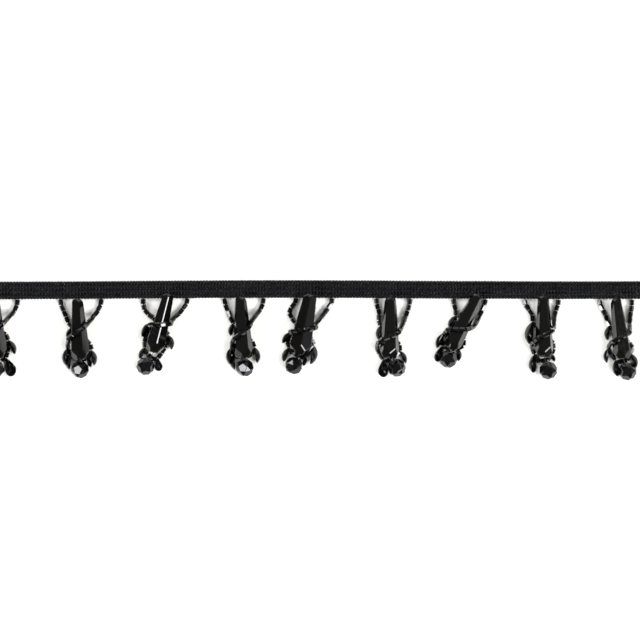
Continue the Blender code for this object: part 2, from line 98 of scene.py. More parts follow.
# A viscose filament is about 0.02 mm wide. It is drawn wider, so that it shows close up.
FILAMENT = 0.16 * MM
STREAK_LENGTH = 6 * MM
YARN_GIRTH = 3.4 * MM

DROP_LENGTH = 28.2 * MM
DROP_TIP_END = 1.6 * MM
DROP_SHOULDER = 24.0 * MM
DROP_TIP_RADIUS = 2.95 * MM
DROP_WIDE_RADIUS = 4.8 * MM
DROP_BASE_RADIUS = 2.3 * MM
DROP_POINT_RADIUS = 1.5 * MM
DROP_SIDES = 5
DROP_TIP_HEIGHT = 4.5 * MM
DROP_REST_HEIGHT = 2.3 * MM
DROP_HOLE = 0.55 * MM
DROP_TIP_HOLE = 0.4 * MM
HOLE_DEPTH = 2.0 * MM

# An edge is worn where its facets turn by more than this, in degrees, and where it is longer than this.
EDGE_TURN = 12
EDGE_SHORTEST = 0.6 * MM

# The round bead's facets: how far its five-sided and its three-sided ones lie from its middle.
ROUND_FIVE_REACH = 3.7 * MM
ROUND_THREE_REACH = 3.98 * MM
ROUND_HEIGHT = 3.95 * MM

# The strands' routes. STRAND_HALF is half the width of a strand's own solid, and STRAND_CLEARANCE is how
# far the middle of that solid stays from the drop. ABOVE and APART are from the round bead's middle, towards
# the drop and to its right. CLEAR is room beside the drop, LIFT is height, and AFTER is further down it.
STRAND_HALF = 0.95 * MM
STRAND_ROOT_HALF = 0.38 * MM
STRAND_CLEARANCE = 1.65 * MM
STRAND_STEP = 2.0 * MM
STRAND_END_HEIGHT = 1.6 * MM
STRAND_END_ABOVE = 4.75 * MM
STRAND_END_APART = 2.5 * MM
STRAND_CROSS_ABOVE = 5.3 * MM
STRAND_CROSS_APART = -1.8 * MM
STRAND_ROOT_INSIDE = 1.0 * MM
STRAND_ROOT_OUT = 1.6 * MM
STRAND_SMOOTHING = 12
OVER_FIRST_TURN = -30
OVER_LAST_TURN = 198
LEAD_SHARE = 0.55
LEAD_LIFT = 0.3 * MM
OVER_DOWN_AFTER = 3.4 * MM
OVER_DOWN_LEAST = 23.6 * MM
OVER_DOWN_CLEAR = 0.9 * MM
OVER_DOWN_LIFT = 0.4 * MM
UNDER_IN_CLEAR = 0.9 * MM
UNDER_OUT_CLEAR = 0.5 * MM
UNDER_LOW_CLEAR = 0.3 * MM
UNDER_LOW_AFTER = 2.4 * MM
UNDER_LOW_LEAST = 25.4 * MM

# Beads are threaded on a finer route, from the braid's edge. BEAD_CLEARANCE is how far their middles stay
# from the drop, which is nearer than the solid's. A bead's length and size are shares of the usual ones,
# and it sits up to BEAD_ASKEW degrees askew. Its rims are the edges that turn by more than BEAD_RIM_TURN.
BEAD_STEP = 0.25 * MM
BEAD_CLEARANCE = 1.3 * MM
BEAD_SIDES = 6
BEAD_APART = 0.16 * MM
BEAD_LENGTHS = (0.97, 1.0)
BEAD_SIZES = (0.93, 1.0)
BEAD_ASKEW = 5
BEAD_RIM = 0.16 * MM
BEAD_RIM_TURN = 80
BEAD_LIFT = 0.13 * MM
PETAL_ROOM = 0.5 * MM

# A petal's width, depth and neck as parts of its length, of its length and of its width.
PETAL_WIDTH = 0.7
PETAL_DEPTH = 0.26
PETAL_NECK = 0.17
PETAL_SOLID_THICKNESS = 0.55 * MM
PETAL_SOLID_STEPS = 9
PETAL_SOLID_RINGS = (0.0, 0.55, 1.0)
PETAL_STEPS = 28
PETAL_RINGS = 7
PETAL_SPREAD = 1.25
PETAL_LIFT = 0.05 * MM
PETAL_PITCHES = range(-40, 61, 2)
PETAL_RIM_SHARE = 1 / 3
PETAL_RIM_STEPS = 2
PETAL_RIM_TURN = 50

# The drop's thread goes from its tip over the braid's lower edge and down between the yarns.
THREAD_OVER = 0.8 * MM
THREAD_INTO = 1.2 * MM
THREAD_DOWN = 0.5 * MM
THREAD_STRIDE = 4

# tip and ball are places on the surface, lean turns the drop from straight down towards +X, roll turns it
# on its own axis, and girth is how stout it is next to the usual drop. tilt and spin turn the round bead:
# its hole from level, and about its hole. roots are where the strands leave the braid, and bows how far
# they bend towards +X before the drop. The last four say how far down the drop the strands cross its
# sides: over it and under it.
Dangle = namedtuple(
    "Dangle",
    "tip_x tip_y lean roll girth ball_x ball_y tilt spin "
    "root_left root_right bow_left bow_right over_in over_out under_in under_out",
)
DANGLES = (
    Dangle(-144.4, 14.6, 4.2, 14, 1, -143.5, -18.1, 26, 10, -153.0, -133.4, 0, 0.8, 10.6, 19.6, 10.6, 18.0),
    Dangle(-105.7, 14.4, 3.2, 16, 1, -104.3, -18.2, 30, -3, -113.7, -94.5, 0, 0.6, 10.9, 19.5, 11.0, 22.0),
    Dangle(-63.2, 16.8, -14.5, 26, 0.97, -74, -16.7, 24, -18, -75.2, -54.5, -1.6, 0.8, 12.9, 16.5, 12.5, 19),
    Dangle(-30.0, 15.2, 3.2, 5, 1, -27.9, -17.4, 27, -2, -37.5, -19.2, 0, 0.7, 11.5, 21.7, 10.6, 22.2),
    Dangle(2.6, 16.5, -11.3, 34, 1.14, -5.2, -16.5, -3, -29, -4.1, 12.7, -2.6, 0.3, 14.2, 19.3, 13.4, 21.5),
    Dangle(39.7, 15.1, -1.3, 0, 1, 42.6, -17.5, 29, -20, 33.2, 48.8, 0.5, 0.3, 14.8, 21.4, 12.3, 22.6),
    Dangle(80.3, 16.2, -28.7, 8, 1, 66.5, -13.4, 20, -10, 69.0, 83.9, 0.4, 0.3, 14.0, 22.0, 12.5, 22.6),
    Dangle(110.6, 15.8, 0.4, -2, 0.97, 112.9, -18.7, 27, -15, 101.9, 117.8, 1, -0.6, 14.4, 21.9, 12.1, 22.6),
    Dangle(144.3, 14.5, 6.6, -8, 0.97, 149.7, -19.1, 24, -19, 136.7, 151.9, 0.4, 0, 15.0, 20.6, 11.3, 22.6),
)

# Each petal hangs on the strand that goes over or under the drop. near is its place there, as a part of
# the strand's length, heading is where its free end points, from +X, roll is 0 where it lies face up and
# 90 where it stands on edge with its hollow to the drop, and length is in millimetres.
Petal = namedtuple("Petal", "dangle strand near heading roll length")
PETALS = (
    Petal(1, "under", 0.66, -62, 70, 7.2),
    Petal(1, "under", 0.86, -66, 22, 9.2),
    Petal(2, "under", 0.41, -116, 66, 5.4),
    Petal(2, "over", 0.86, -94, 84, 7.8),
    Petal(2, "over", 0.93, -94, 86, 7.4),
    Petal(2, "under", 0.77, -78, 80, 7.4),
    Petal(2, "under", 0.88, -66, 60, 4.4),
    Petal(3, "over", 0.66, -114, 62, 8.0),
    Petal(3, "over", 0.94, -116, 76, 5.6),
    Petal(3, "under", 0.57, -78, 82, 6.8),
    Petal(3, "under", 0.86, -84, 15, 5.8),
    Petal(4, "under", 0.37, -105, 68, 6.0),
    Petal(4, "over", 0.84, -95, 84, 7.8),
    Petal(4, "over", 0.94, -88, 86, 7.4),
    Petal(4, "under", 0.76, -80, 82, 7.4),
    Petal(5, "over", 0.78, -126, 72, 6.6),
    Petal(5, "over", 0.94, -114, 72, 7.0),
    Petal(5, "under", 0.70, -98, 84, 9.4),
    Petal(5, "under", 0.86, -102, 60, 4.2),
    Petal(6, "under", 0.39, -94, 85, 7.4),
    Petal(6, "over", 0.96, -92, 24, 8.2),
    Petal(6, "under", 0.80, -62, 80, 6.4),
    Petal(7, "under", 0.30, -121, 78, 6.8),
    Petal(7, "over", 0.83, -114, 78, 7.4),
    Petal(7, "over", 0.98, -114, 40, 7.6),
    Petal(7, "under", 0.82, -86, 70, 5.8),
    Petal(8, "under", 0.34, -102, 64, 10.8),
    Petal(8, "over", 0.91, -97, 52, 8.8),
    Petal(8, "under", 0.83, -70, 60, 3.4),
    Petal(9, "under", 0.38, -102, 74, 7.0),
    Petal(9, "over", 0.82, -96, 80, 6.8),
    Petal(9, "over", 0.96, -84, 50, 7.4),
    Petal(9, "under", 0.82, -68, 78, 6.8),
)

# The light is a dim room with soft fills from overhead, behind and both sides, four small bright boxes and
# two narrow lamps. The boxes and lamps stand where the facets that are bright in the photograph catch them.
# azimuth is from +X towards +Y and rise is up from the surface. A glow is full as far as inner and ends at
# outer, as angles from its middle.
Glow = namedtuple("Glow", "name azimuth rise inner outer light")
GLOWS = (
    Glow("whole_room", 0, 0, 179, 180, 0.12),
    Glow("overhead", 85, 68, 14, 34, 0.12),
    Glow("back_fill", 90, 16, 10, 40, 1.3),
    Glow("right_wall", 0, 13, 12, 30, 0.5),
    Glow("left_wall", 196, 8, 8, 26, 0.3),
    Glow("back_left_box", 134, 40, 7, 9, 30.0),
    Glow("front_left_box", 222, 33, 7, 9, 34.0),
    Glow("back_right_box", 12, 38, 7, 9, 26.0),
    Glow("front_right_box", -34, 46, 9, 11, 26.0),
    Glow("top_lamp", 31, 66, 3, 5, 42.0),
    Glow("front_lamp", 187, 60, 3, 5, 24.0),
)

# The camera looks straight down, and the photograph takes in this width of the surface.
VIEW_WIDTH = 297.6 * MM
VIEW_CENTRE = Vector((6.975 * MM, 4.685 * MM, 0.0))
CAMERA_LENS = 200.0
SENSOR_WIDTH = 36.0
CAMERA_REACH = 50.0
FLOOR_HALF = 4.0
FLOOR_BELOW = 0.02 * MM


def linear(hex_colour):
    """An sRGB colour such as 1a1a1c as the linear red, green and blue that a shader takes."""
    shares = [int(hex_colour[place : place + 2], 16) / 255 for place in (0, 2, 4)]
    return [s / 12.92 if s <= 0.04045 else ((s + 0.055) / 1.055) ** 2.4 for s in shares]


def add_node(tree, kind, inputs, **settings):
    """Adds a node, sets what it is told, and fills its inputs with values or with links."""
    node = tree.nodes.new(kind)
    for name, value in settings.items():
        setattr(node, name, value)
    for name, value in inputs.items():
        if isinstance(value, bpy.types.NodeSocket):
            tree.links.new(value, node.inputs[name])
        else:
            node.inputs[name].default_value = value
    return node


def new_material(name):
    """An empty material, its node tree, and the place on the piece that its patterns start from."""
    made = bpy.data.materials.new(name)
    made.use_nodes = True
    tree = made.node_tree
    tree.nodes.clear()
    return made, tree, add_node(tree, "ShaderNodeTexCoord", {}).outputs["Object"]


def drawn_out(tree, map_name, u_scale, v_scale):
    """A piece's own map, stretched for a pattern that repeats at its own pace along U and along V."""
    place = add_node(tree, "ShaderNodeUVMap", {}, uv_map=map_name).outputs["UV"]
    drawn = add_node(tree, "ShaderNodeMapping", {"Vector": place, "Scale": (u_scale, v_scale, 1.0)})
    return drawn.outputs["Vector"]


def patchy(tree, place, size, detail, low, high):
    """Soft patches of a given size: their pattern, and the value from low to high that it gives."""
    inputs = {"Vector": place, "Scale": 1 / size, "Detail": detail}
    pattern = add_node(tree, "ShaderNodeTexNoise", inputs).outputs["Fac"]
    inputs = {"Value": pattern, "From Min": 0.3, "From Max": 0.7, "To Min": low, "To Max": high}
    return pattern, add_node(tree, "ShaderNodeMapRange", inputs).outputs["Result"]


def finish_surface(tree, looks, relief, strength, depth):
    """Ends a material: its relief as a bump of a real depth, its shader and its output."""
    inputs = {"Strength": strength, "Distance": depth, "Height": relief}
    bump = add_node(tree, "ShaderNodeBump", inputs).outputs["Normal"]
    shader = add_node(tree, "ShaderNodeBsdfPrincipled", {**looks, "Normal": bump})
    add_node(tree, "ShaderNodeOutputMaterial", {"Surface": shader.outputs["BSDF"]})


class BraidSettings(bpy.types.PropertyGroup):
    repeat: bpy.props.FloatProperty(
        name="Repeat", default=1.47 * MM, unit="LENGTH",
        description="Distance along the braid from one yarn of a rib to the next",
    )
    yarn_width: bpy.props.FloatProperty(
        name="Yarn Width", default=1.2 * MM, unit="LENGTH",
        description="Width of a yarn where it lies flat on a rib",
    )
    yarn_thickness: bpy.props.FloatProperty(
        name="Yarn Thickness", default=0.82 * MM, unit="LENGTH",
        description="Height of a yarn over the one that it crosses",
    )
    colour: bpy.props.FloatVectorProperty(
        name="Yarn Colour", default=linear("070708"), subtype="COLOR",
        description="Colour of the dyed yarn",
    )


class DropSettings(bpy.types.PropertyGroup):
    edge: bpy.props.FloatProperty(
        name="Edge Rounding", default=0.5 * MM, unit="LENGTH",
        description="Width of the ground edge between two facets of a drop",
    )
    colour: bpy.props.FloatVectorProperty(
        name="Drop Colour", default=linear("080706"), subtype="COLOR",
        description="Body colour of the moulded drops",
    )


class RoundBeadSettings(bpy.types.PropertyGroup):
    edge: bpy.props.FloatProperty(
        name="Edge Rounding", default=0.25 * MM, unit="LENGTH",
        description="Width of the ground edge between two facets of a round bead",
    )
    colour: bpy.props.FloatVectorProperty(
        name="Round Bead Colour", default=linear("080708"), subtype="COLOR",
        description="Body colour of the moulded round beads",
    )


class StrandSettings(bpy.types.PropertyGroup):
    bead_width: bpy.props.FloatProperty(
        name="Bead Width", default=2.4 * MM, unit="LENGTH",
        description="Width of a cut bead across its corners",
    )
    bead_pitch: bpy.props.FloatProperty(
        name="Bead Pitch", default=2.6 * MM, unit="LENGTH",
        description="Usual distance from one cut bead to the next",
    )
    bead_hole: bpy.props.FloatProperty(
        name="Bead Hole", default=0.9 * MM, unit="LENGTH",
        description="Width of a cut bead's hole",
    )
    thread_width: bpy.props.FloatProperty(
        name="Thread Width", default=0.34 * MM, unit="LENGTH",
        description="Width of the beading thread",
    )
    bead_colour: bpy.props.FloatVectorProperty(
        name="Cut Bead Colour", default=linear("050505"), subtype="COLOR",
        description="Body colour of the cut beads",
    )
    thread_colour: bpy.props.FloatVectorProperty(
        name="Thread Colour", default=linear("151516"), subtype="COLOR",
        description="Colour of the beading thread",
    )


class PetalSettings(bpy.types.PropertyGroup):
    thickness: bpy.props.FloatProperty(
        name="Petal Thickness", default=0.5 * MM, unit="LENGTH",
        description="Thickness of a petal's wall",
    )
    colour: bpy.props.FloatVectorProperty(
        name="Petal Colour", default=linear("080809"), subtype="COLOR",
        description="Body colour of the petals",
    )


class StageSettings(bpy.types.PropertyGroup):
    floor_colour: bpy.props.FloatVectorProperty(
        name="Floor Colour", default=linear("f3f0e9"), subtype="COLOR",
        description="Colour of the pale surface that the trim lies on",
    )
    room_light: bpy.props.FloatProperty(
        name="Room Light", default=1.0,
        description="Strength of all the light in the room, as a share of the usual",
    )


def add_object(name, data):
    made = bpy.data.objects.new(name, data)
    bpy.context.scene.collection.objects.link(made)
    return made


def finished_piece(name, mesh, material, replaced=()):
    """Puts a finished mesh in the scene as a piece of the trim."""
    piece = add_object(name, mesh)
    mesh.materials.append(material)
    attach(piece, "root")
    if replaced:
        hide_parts(*replaced)
    return piece


def mesh_from(bm, name):
    mesh = bpy.data.meshes.new(name)
    bm.to_mesh(mesh)
    bm.free()
    return mesh


def smooth_mesh_from(bm, name):
    """The mesh with its faces turned outwards and shaded as one smooth surface."""
    bmesh.ops.recalc_face_normals(bm, faces=bm.faces)
    for face in bm.faces:
        face.smooth = True
    return mesh_from(bm, name)


def lowest(mesh, matrix):
    return min((matrix @ vert.co).z for vert in mesh.vertices)


def braid_centre(x):
    """The braid's middle line, which waves a little as a loose trim does."""
    turn = 2 * math.pi * (x - BRAID_WAVE_CREST) / BRAID_WAVE_LENGTH
    return BRAID_CENTRE + BRAID_WAVE * math.cos(turn)


def braid_low_edge(x):
    return braid_centre(x) - BRAID_WIDTH / 2


def column_edges():
    """Where the plait's columns meet, across the braid from the lower one's outer side."""
    edges = [0.0]
    for column in range(COLUMNS):
        edges.append(edges[-1] + (NARROW_COLUMN if column % 2 else WIDE_COLUMN))
    return edges


def softened(distance):
    """A distance to a turn, in columns, rounded off close to the turn."""
    soft = YARN_TURN_SOFTENING
    if distance >= soft:
        return distance
    return distance * distance / (2 * soft) + soft / 2


def yarn_place(progress, edges):
    """How far across the plait a yarn is, and which column it crosses, at its progress in columns."""
    place = progress % (2 * COLUMNS)
    if place > COLUMNS:
        place = 2 * COLUMNS - place
    column = min(int(place), COLUMNS - 1)
    if place < COLUMNS / 2:
        place = softened(place)
    else:
        place = COLUMNS - softened(COLUMNS - place)
    inside = min(int(place), COLUMNS - 1)
    across = edges[inside] + (place - inside) * (edges[inside + 1] - edges[inside])
    return across, column


def rib_drift(x, share):
    """How far the ribs wander up the braid towards its right end, less at its edges."""
    along = min(max((x - RIB_DRIFT_START) / (RIB_DRIFT_END - RIB_DRIFT_START), 0.0), 1.0)
    smooth = along * along * (3 - 2 * along)
    return RIB_DRIFT * smooth * math.sin(math.pi * share)


def yarn_centre(x, progress, edges, thickness):
    """A point on a yarn's middle line, how far over or under it lies there, and its column."""
    across, column = yarn_place(progress, edges)
    wave = math.sin(math.pi * progress)
    wave = math.copysign(abs(wave) ** YARN_FLATTENING, wave)
    back = thickness / 2
    face = (GROOVE_FACE if column % 2 else RIB_FACE) - thickness / 2
    middle = (back + GROOVE_FACE - thickness / 2) / 2
    height = middle + wave * ((face - middle) if wave > 0 else (middle - back))
    share = across / edges[-1]
    margin = (BRAID_WIDTH - edges[-1]) / 2
    y = braid_low_edge(x) + margin + across + rib_drift(x, share)
    return Vector((x, y, height)), abs(wave), column


def add_yarn(bm, number, settings, edges):
    """One yarn of the plait from end to end, as a flattened tube that is open at its ends."""
    column_length = settings.repeat / 2
    steps = round(BRAID_LENGTH / column_length) * COLUMN_STEPS
    grid = bmesh.ops.create_grid(bm, x_segments=steps, y_segments=YARN_SIDES, size=0.5, calc_uvs=True)
    start = number * settings.repeat / column_length
    points = []
    for step in range(steps + 1):
        x = (step / steps - 0.5) * BRAID_LENGTH
        points.append(yarn_centre(x, step / COLUMN_STEPS - start, edges, settings.yarn_thickness))
    up = Vector((0, 0, 1))
    for vert in grid["verts"]:
        step = round((vert.co.x + 0.5) * steps)
        turn = 2 * math.pi * (vert.co.y + 0.5)
        centre, spread, column = points[step]
        along = points[min(step + 1, steps)][0] - points[max(step - 1, 0)][0]
        side = up.cross(along).normalized()
        normal = along.cross(side).normalized()
        flattened = YARN_NARROWEST + (1 - YARN_NARROWEST) * spread
        width = settings.yarn_width * flattened * (GROOVE_YARN if column % 2 else 1.0)
        offset = side * math.cos(turn) * width / 2
        offset += normal * math.sin(turn) * settings.yarn_thickness / 2
        vert.co = centre + offset


def braid_mesh(settings):
    """The plait, with a yarn for each column, each closed on itself and at its cut ends."""
    edges = column_edges()
    bm = bmesh.new()
    # Each yarn's grid fills this map, with U along the yarn and V round it.
    bm.loops.layers.uv.new("yarn")
    for number in range(COLUMNS):
        add_yarn(bm, number, settings, edges)
    bmesh.ops.remove_doubles(bm, verts=bm.verts, dist=TOUCHING)
    open_ends = [edge for edge in bm.edges if edge.is_boundary]
    bmesh.ops.holes_fill(bm, edges=open_ends, sides=YARN_SIDES)
    return smooth_mesh_from(bm, "plaited_braid")


def viscose_yarn(colour):
    """Dyed viscose yarn, plaited: many fine filaments side by side give streaks and a soft sheen."""
    made, tree, place = new_material("viscose_yarn")
    run = drawn_out(tree, "yarn", u_scale=BRAID_LENGTH / STREAK_LENGTH, v_scale=YARN_GIRTH / FILAMENT)
    streaks = add_node(tree, "ShaderNodeTexNoise", {"Vector": run, "Scale": 1.0, "Detail": 2.0})
    _, shade = patchy(tree, place, size=4 * MM, detail=3.0, low=0.7, high=1.25)
    inputs = {"Factor": 1.0, "A": (*colour, 1.0), "B": shade}
    tint = add_node(tree, "ShaderNodeMix", inputs, data_type="RGBA", blend_type="MULTIPLY")
    # Viscose has an IOR of about 1.5. It was lowered to the photograph's dark yarn.
    looks = {"Base Color": tint.outputs["Result"], "Roughness": 0.3, "IOR": 1.28}
    finish_surface(tree, looks, streaks.outputs["Fac"], strength=0.6, depth=0.06 * MM)
    return made


class FRINGE_OT_braid(bpy.types.Operator):
    """Adds the plaited braid, yarn by yarn, in the place of its solid"""

    bl_idname = "fringe.braid"
    bl_label = "Add Plaited Braid"

    def execute(self, context):
        settings = context.scene.fringe_braid
        material = viscose_yarn(settings.colour)
        finished_piece("plaited_braid", braid_mesh(settings), material, ["braid"])
        return {"FINISHED"}


def grind(bm, point, normal):
    """Cuts away what lies past a plane and closes the cut with one flat facet."""
    parts = bm.verts[:] + bm.edges[:] + bm.faces[:]
    cut = bmesh.ops.bisect_plane(
        bm, geom=parts, dist=CUT_TOLERANCE, plane_co=point, plane_no=normal, clear_outer=True
    )
    rim = [part for part in cut["geom_cut"] if isinstance(part, bmesh.types.BMEdge)]
    if rim:
        bmesh.ops.edgeloop_fill(bm, edges=rim)


def drill(bm, end, hole_radius):
    """Sinks the thread hole into the flat end that faces along +Z or -Z."""
    flats = [face for face in bm.faces if face.normal.z * end > END_FACING]
    rim = min((edge.verts[0].co + edge.verts[1].co).xy.length / 2 for edge in flats[0].edges)
    bmesh.ops.inset_region(bm, faces=flats, thickness=rim - hole_radius, use_even_offset=True)
    sunk = bmesh.ops.extrude_discrete_faces(bm, faces=flats)["faces"]
    bmesh.ops.translate(bm, vec=(0, 0, -end * HOLE_DEPTH), verts=sunk[0].verts)


def wear_edges(bm, width, least_turn=EDGE_TURN, measure="WIDTH"):
    """Takes the edges between facets off a little, which gives a bead its bright lines."""
    edges = [
        edge
        for edge in bm.edges
        if edge.calc_length() > EDGE_SHORTEST and edge.calc_face_angle(0.0) > math.radians(least_turn)
    ]
    bmesh.ops.bevel(
        bm, geom=edges, affect="EDGES", offset=width, offset_type=measure,
        segments=1, profile=0.5, material=-1, clamp_overlap=False,
    )


def map_facets(bm, uv_layer):
    """Lays each facet's map flat, in metres, with V along the bead's axis."""
    for face in bm.faces:
        around = Vector((-face.normal.y, face.normal.x, 0))
        if around.length < NEARLY_LEVEL:
            around = Vector((1, 0, 0))
        around.normalize()
        for loop in face.loops:
            loop[uv_layer].uv = (loop.vert.co.dot(around), loop.vert.co.z)


def drop_radius(dangle, along):
    """The drop's corner radius, from its tip to its shoulder and on to its base."""
    if along <= DROP_SHOULDER:
        share = max((along - DROP_TIP_END) / (DROP_SHOULDER - DROP_TIP_END), 0.0)
        return dangle.girth * (DROP_TIP_RADIUS + share * (DROP_WIDE_RADIUS - DROP_TIP_RADIUS))
    past = min((along - DROP_SHOULDER) / (DROP_LENGTH - DROP_SHOULDER), 1.0)
    return dangle.girth * (DROP_WIDE_RADIUS + past * (DROP_BASE_RADIUS - DROP_WIDE_RADIUS))


def drop_mesh(number, edge_width):
    """A five-sided taper along +Z from tip to base, ground to a point and to a staggered shoulder."""
    slope = (DROP_WIDE_RADIUS - DROP_TIP_RADIUS) / (DROP_SHOULDER - DROP_TIP_END)
    start_radius = DROP_TIP_RADIUS - slope * DROP_TIP_END
    bm = bmesh.new()
    uv_layer = bm.loops.layers.uv.new("facets")
    bmesh.ops.create_cone(
        bm, cap_ends=True, segments=DROP_SIDES, depth=DROP_LENGTH,
        radius1=start_radius, radius2=start_radius + slope * DROP_LENGTH,
    )
    bmesh.ops.translate(bm, vec=(0, 0, DROP_LENGTH / 2), verts=bm.verts)
    first = next(iter(bm.verts)).co
    start = math.atan2(first.y, first.x)
    turn = Matrix.Rotation(drop_corners()[0] - start, 3, "Z")
    bmesh.ops.rotate(bm, matrix=turn, cent=(0, 0, 0), verts=bm.verts)
    tip_fall = math.atan2(DROP_TIP_RADIUS - DROP_POINT_RADIUS, DROP_TIP_END)
    base_fall = math.atan2(DROP_WIDE_RADIUS - DROP_BASE_RADIUS, DROP_LENGTH - DROP_SHOULDER)
    for corner in drop_corners():
        for fall, along, radius, end in (
            (tip_fall, DROP_TIP_END, DROP_TIP_RADIUS, -1),
            (base_fall, DROP_SHOULDER, DROP_WIDE_RADIUS, 1),
        ):
            out = Vector((math.cos(corner), math.sin(corner), 0))
            normal = out * math.cos(fall) + Vector((0, 0, end * math.sin(fall)))
            grind(bm, out * radius + Vector((0, 0, along)), normal)
    bmesh.ops.recalc_face_normals(bm, faces=bm.faces)
    drill(bm, 1, DROP_HOLE)
    drill(bm, -1, DROP_TIP_HOLE)
    wear_edges(bm, edge_width)
    map_facets(bm, uv_layer)
    return mesh_from(bm, f"drop_bead_{number}")


def drop_corners(roll=0.0):
    """The angles of the drop's edges about its axis, from its right side. One side faces up."""
    first = math.pi / 2 - math.pi / DROP_SIDES + math.radians(roll)
    return [first + 2 * math.pi * side / DROP_SIDES for side in range(DROP_SIDES)]


def drop_axis_height(dangle, along):
    """The height of the drop's axis: its tip lies over the braid and its wide end over a strand."""
    lowest_edge = max(-math.sin(corner) for corner in drop_corners(dangle.roll))
    wide = DROP_REST_HEIGHT + drop_radius(dangle, DROP_SHOULDER) * lowest_edge
    tip = DROP_TIP_HEIGHT * dangle.girth
    return tip + (wide - tip) * along / DROP_SHOULDER


def down_drop(dangle):
    lean = math.radians(dangle.lean)
    return Vector((math.sin(lean), -math.cos(lean), 0))


def right_of_drop(dangle):
    lean = math.radians(dangle.lean)
    return Vector((math.cos(lean), math.sin(lean), 0))


def by_drop(dangle, along, across, height):
    """A point given by the drop: so far down it, so far to its right, so high over the surface."""
    tip = Vector((dangle.tip_x * MM, dangle.tip_y * MM, height))
    return tip + down_drop(dangle) * along + right_of_drop(dangle) * across


def round_drop(dangle, along, turn, clearance):
    """A point that clears the drop's side, turned about its axis from its right side upwards."""
    half_side = 180 / DROP_SIDES
    from_middle = (turn - 90 - dangle.roll + half_side) % (2 * half_side) - half_side
    flat = drop_radius(dangle, along) * math.cos(math.radians(half_side))
    reach = flat / math.cos(math.radians(from_middle)) + clearance
    turn = math.radians(turn)
    height = drop_axis_height(dangle, along) + reach * math.sin(turn)
    return by_drop(dangle, along, reach * math.cos(turn), height)


def drop_matrix(dangle):
    tip = by_drop(dangle, 0, 0, drop_axis_height(dangle, 0))
    base = by_drop(dangle, DROP_LENGTH, 0, drop_axis_height(dangle, DROP_LENGTH))
    along = (base - tip).normalized()
    right = right_of_drop(dangle)
    up = along.cross(right)
    turned = Matrix((right, up, along)).transposed()
    roll = Matrix.Rotation(math.radians(dangle.roll), 3, "Z")
    girth = Matrix.Diagonal((dangle.girth, dangle.girth, 1.0))
    return Matrix.Translation(tip) @ (turned @ roll @ girth).to_4x4()


def moulded_acrylic(name, colour, streak_width, streak_length, strength):
    """Black acrylic, moulded and polished: mirror-like facets with faint flow lines and a hazy skin."""
    made, tree, place = new_material(name)
    facet = drawn_out(tree, "facets", u_scale=1 / streak_width, v_scale=1 / streak_length)
    flow, shade = patchy(tree, facet, size=1.0, detail=3.0, low=0.6, high=1.5)
    _, haze = patchy(tree, place, size=1.5 * MM, detail=4.0, low=0.04, high=0.12)
    inputs = {"Factor": 1.0, "A": (*colour, 1.0), "B": shade}
    body = add_node(tree, "ShaderNodeMix", inputs, data_type="RGBA", blend_type="MULTIPLY")
    # Acrylic has an IOR of 1.49. It was lowered to the photograph's dark facets.
    looks = {"Base Color": body.outputs["Result"], "Roughness": haze, "IOR": 1.4}
    finish_surface(tree, looks, flow, strength, depth=0.01 * MM)
    return made


class FRINGE_OT_drops(bpy.types.Operator):
    """Adds the nine long faceted drops, with thread holes and worn edges"""

    bl_idname = "fringe.drops"
    bl_label = "Add Drops"

    def execute(self, context):
        settings = context.scene.fringe_drops
        material = moulded_acrylic(
            "moulded_acrylic_drops", settings.colour,
            streak_width=0.25 * MM, streak_length=9 * MM, strength=0.35,
        )
        for number, dangle in enumerate(DANGLES, 1):
            mesh = drop_mesh(number, settings.edge)
            mesh.transform(drop_matrix(dangle))
            finished_piece(f"drop_bead_{number}", mesh, material, [f"drop_{number}"])
        return {"FINISHED"}


def round_mesh(number, edge_width):
    """A round bead of twenty flat sides, its twelve corners ground to five-sided facets, its hole on Z."""
    bm = bmesh.new()
    uv_layer = bm.loops.layers.uv.new("facets")
    bmesh.ops.create_icosphere(bm, subdivisions=1, radius=1.0)
    corners = [vert.co.copy() for vert in bm.verts]
    side_reach = next(iter(bm.faces)).calc_center_median().length
    bmesh.ops.scale(bm, vec=[ROUND_THREE_REACH / side_reach] * 3, verts=bm.verts)
    for corner in corners:
        grind(bm, corner * ROUND_FIVE_REACH, corner)
    bmesh.ops.recalc_face_normals(bm, faces=bm.faces)
    drill(bm, 1, DROP_HOLE)
    drill(bm, -1, DROP_HOLE)
    wear_edges(bm, edge_width)
    map_facets(bm, uv_layer)
    return mesh_from(bm, f"round_bead_{number}")


def ball_centre(dangle):
    return Vector((dangle.ball_x * MM, dangle.ball_y * MM, ROUND_HEIGHT))


def ball_axis(dangle):
    """Level, from the drop's base to the round bead."""
    base = by_drop(dangle, DROP_LENGTH, 0, ROUND_HEIGHT)
    return (ball_centre(dangle) - base).normalized()


def round_turn(dangle):
    """The round bead's turn: its hole along the thread and tilted, and spun about its hole."""
    along = ball_axis(dangle)
    up = Vector((0, 0, 1))
    level = Matrix((up.cross(along), up, along)).transposed()
    tilt = Matrix.Rotation(math.radians(dangle.tilt), 3, "X")
    spin = Matrix.Rotation(math.radians(dangle.spin), 3, "Z")
    return level @ tilt @ spin


def round_matrix(dangle, mesh):
    """Puts the round bead in its place, down on the surface."""
    turn = round_turn(dangle)
    centre = ball_centre(dangle)
    centre.z = -lowest(mesh, turn)
    return Matrix.Translation(centre) @ turn.to_4x4()


